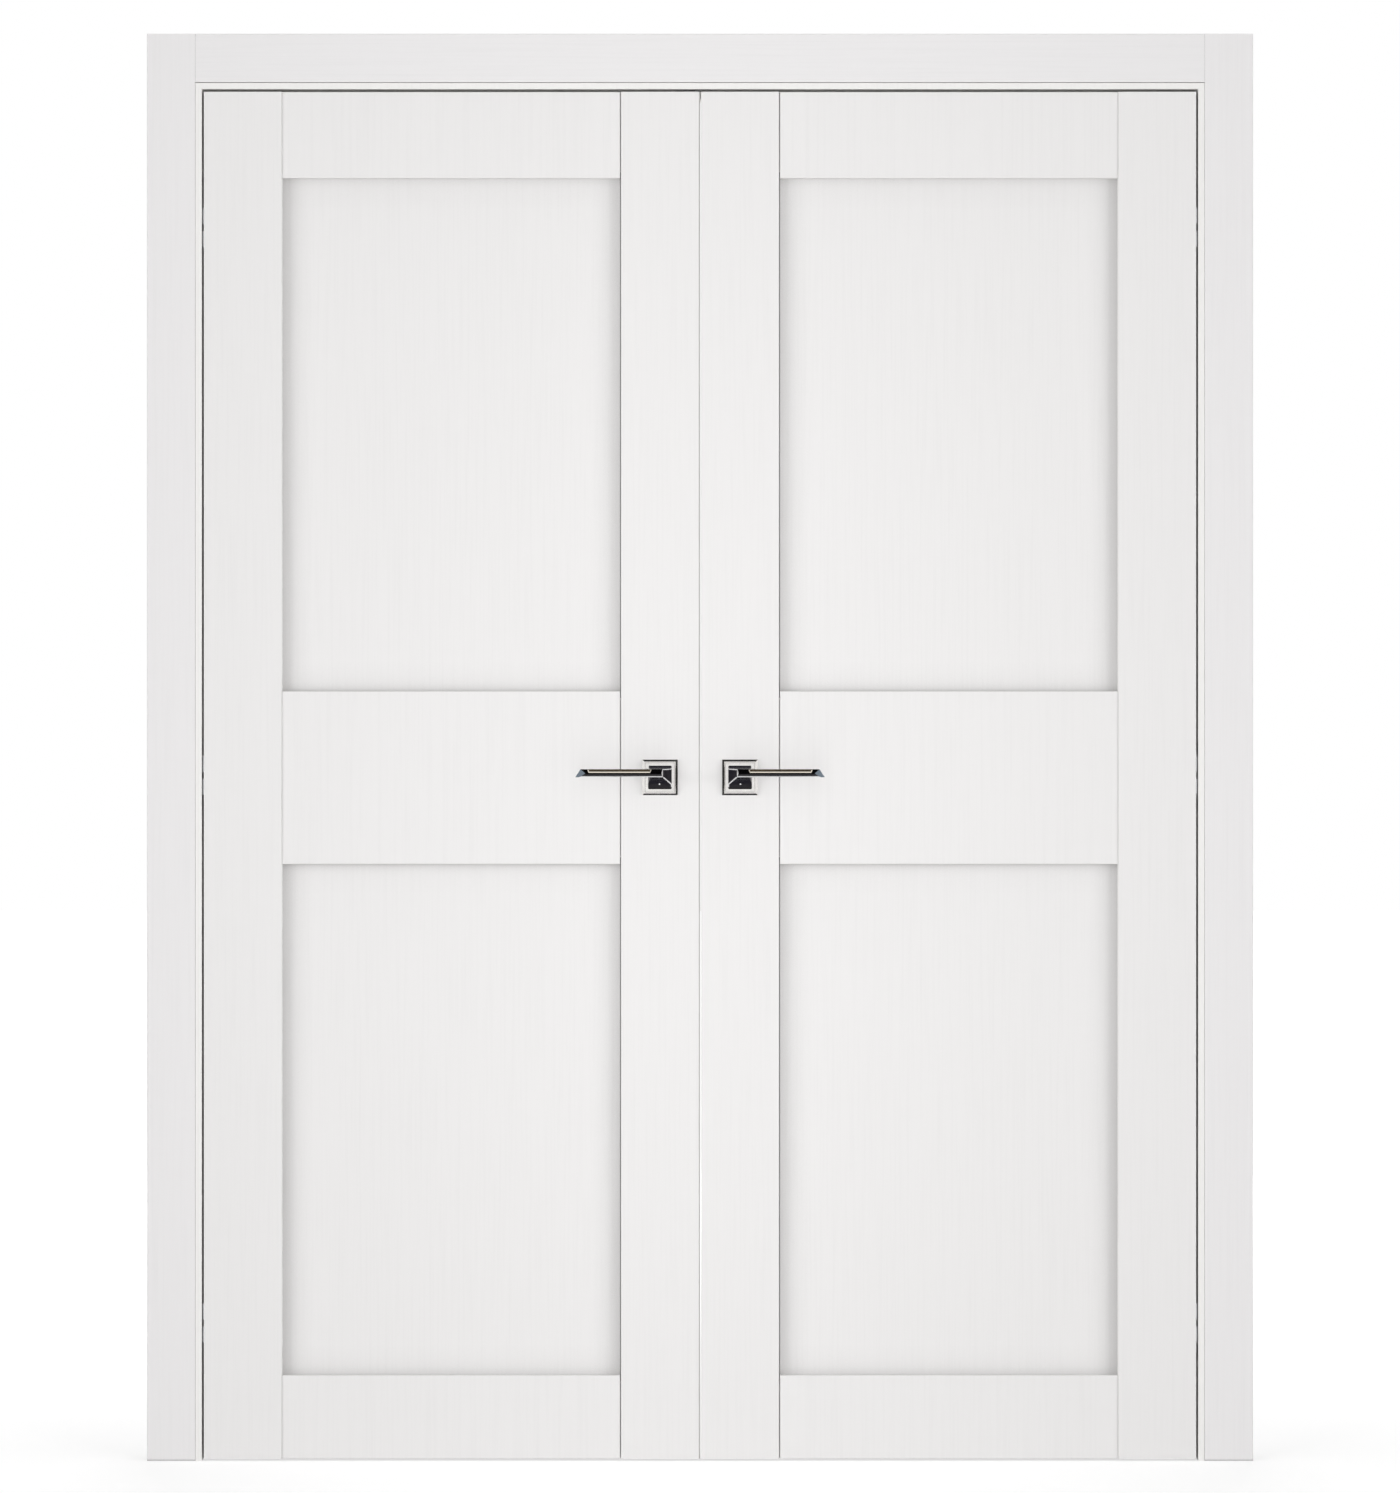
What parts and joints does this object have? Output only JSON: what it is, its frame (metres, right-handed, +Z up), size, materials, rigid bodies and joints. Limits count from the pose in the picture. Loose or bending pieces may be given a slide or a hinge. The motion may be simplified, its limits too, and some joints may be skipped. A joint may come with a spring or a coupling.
{
  "type": "prehung double door",
  "caption": "White panelled double door hung on concealed hinges in a lined frame with flush casings, with square-rose lever handles, a latch and flush bolts.",
  "frame": {"origin": "on the floor, at the meeting line of the leaves, in the plane of their faces", "axes": "+X to the right seen from the pull side, +Y into the wall, +Z up"},
  "size_m": [1.644, 0.19, 2.1213],
  "materials": {
    "leaf_foil": "white foil with a faint embossed wood grain",
    "casing_foil": "white foil with a faint embossed wood grain",
    "jamb_foil": "cream-white foil",
    "gasket": "soft white sealing strip",
    "chrome": "polished chrome",
    "satin_inlay": "satin warm nickel",
    "zinc": "satin zinc casting",
    "steel": "bright zinc-plated steel",
    "beech": "bare beech",
    "latch_plastic": "white acetal"
  },
  "bodies": {
    "frame": {"left_jamb": "jamb_foil", "right_jamb": "jamb_foil", "head_jamb": "jamb_foil", "left_stop": "jamb_foil", "right_stop": "jamb_foil", "head_stop": "jamb_foil", "left_front_casing": "casing_foil", "right_front_casing": "casing_foil", "head_front_casing": "casing_foil", "left_back_casing": "casing_foil", "right_back_casing": "casing_foil", "head_back_casing": "casing_foil", "frame_gasket": "gasket", "top_bolt_strike": "steel", "frame_screws": "steel", "left_frame_hinge_cups": "zinc", "right_frame_hinge_cups": "zinc"},
    "left_leaf": {"left_hinge_stile": "leaf_foil", "left_lock_stile": "leaf_foil", "left_top_rail": "leaf_foil", "left_middle_rail": "leaf_foil", "left_bottom_rail": "leaf_foil", "left_upper_panel": "leaf_foil", "left_lower_panel": "leaf_foil", "left_dowels": "beech", "left_leaf_hinge_cups": "zinc", "left_leaf_screws": "steel", "left_front_rose": "chrome", "left_back_rose": "chrome", "meeting_seal": "gasket", "strike_plate": "steel", "flush_bolt_channels": "steel"},
    "right_leaf": {"right_hinge_stile": "leaf_foil", "right_lock_stile": "leaf_foil", "right_top_rail": "leaf_foil", "right_middle_rail": "leaf_foil", "right_bottom_rail": "leaf_foil", "right_upper_panel": "leaf_foil", "right_lower_panel": "leaf_foil", "right_dowels": "beech", "right_leaf_hinge_cups": "zinc", "right_leaf_screws": "steel", "right_front_rose": "chrome", "right_back_rose": "chrome", "latch_case": "zinc", "latch_faceplate": "steel"},
    "left_arms": {"left_hinge_arms": "steel"},
    "right_arms": {"right_hinge_arms": "steel"},
    "left_handle": {"left_front_lever": "chrome", "left_back_lever": "chrome", "left_lever_inlays": "satin_inlay", "left_spindle": "steel"},
    "right_handle": {"right_front_lever": "chrome", "right_back_lever": "chrome", "right_lever_inlays": "satin_inlay", "right_spindle": "steel", "latch_hub": "zinc"},
    "latch": {"latch_bolt": "latch_plastic"},
    "top_bolt": {"top_flush_bolt": "steel"},
    "bottom_bolt": {"bottom_flush_bolt": "steel"}
  },
  "joints": [
    {"name": "left_leaf_swing", "type": "hinge", "parent": "frame", "child": "left_leaf", "pos_m": [-0.739, 0, 1.019], "axis": [0, 0, -1], "range_deg": [0, 100]},
    {"name": "left_arms_swing", "type": "hinge", "parent": "frame", "child": "left_arms", "pos_m": [-0.739, 0, 1.019], "axis": [0, 0, -1], "range_deg": [0, 50]},
    {"name": "left_handle_turn", "type": "hinge", "parent": "left_leaf", "child": "left_handle", "pos_m": [-0.0595, 0.02, 1.016], "axis": [0, -1, 0], "range_deg": [0, 40], "stiffness_Nm_per_rad": 1, "springref_deg": -45.84},
    {"name": "right_leaf_swing", "type": "hinge", "parent": "frame", "child": "right_leaf", "pos_m": [0.739, 0, 1.019], "axis": [0, 0, 1], "range_deg": [0, 100]},
    {"name": "right_arms_swing", "type": "hinge", "parent": "frame", "child": "right_arms", "pos_m": [0.739, 0, 1.019], "axis": [0, 0, 1], "range_deg": [0, 50]},
    {"name": "right_handle_turn", "type": "hinge", "parent": "right_leaf", "child": "right_handle", "pos_m": [0.0595, 0.02, 1.016], "axis": [0, 1, 0], "range_deg": [0, 40], "stiffness_Nm_per_rad": 1, "springref_deg": -45.84},
    {"name": "latch_slide", "type": "slide", "parent": "right_leaf", "child": "latch", "axis": [-1, 0, 0], "range_m": [0, 0.01], "stiffness_N_per_m": 200, "springref_m": -0.005},
    {"name": "top_bolt_slide", "type": "slide", "parent": "left_leaf", "child": "top_bolt", "axis": [0, 0, 1], "range_m": [0, 0.015]},
    {"name": "bottom_bolt_slide", "type": "slide", "parent": "left_leaf", "child": "bottom_bolt", "axis": [0, 0, -1], "range_m": [0, 0.015]}
  ],
  "couplings": [
    {"joint": "left_arms_swing", "follows": "left_leaf_swing", "ratio": 0.5},
    {"joint": "right_arms_swing", "follows": "right_leaf_swing", "ratio": 0.5}
  ]
}
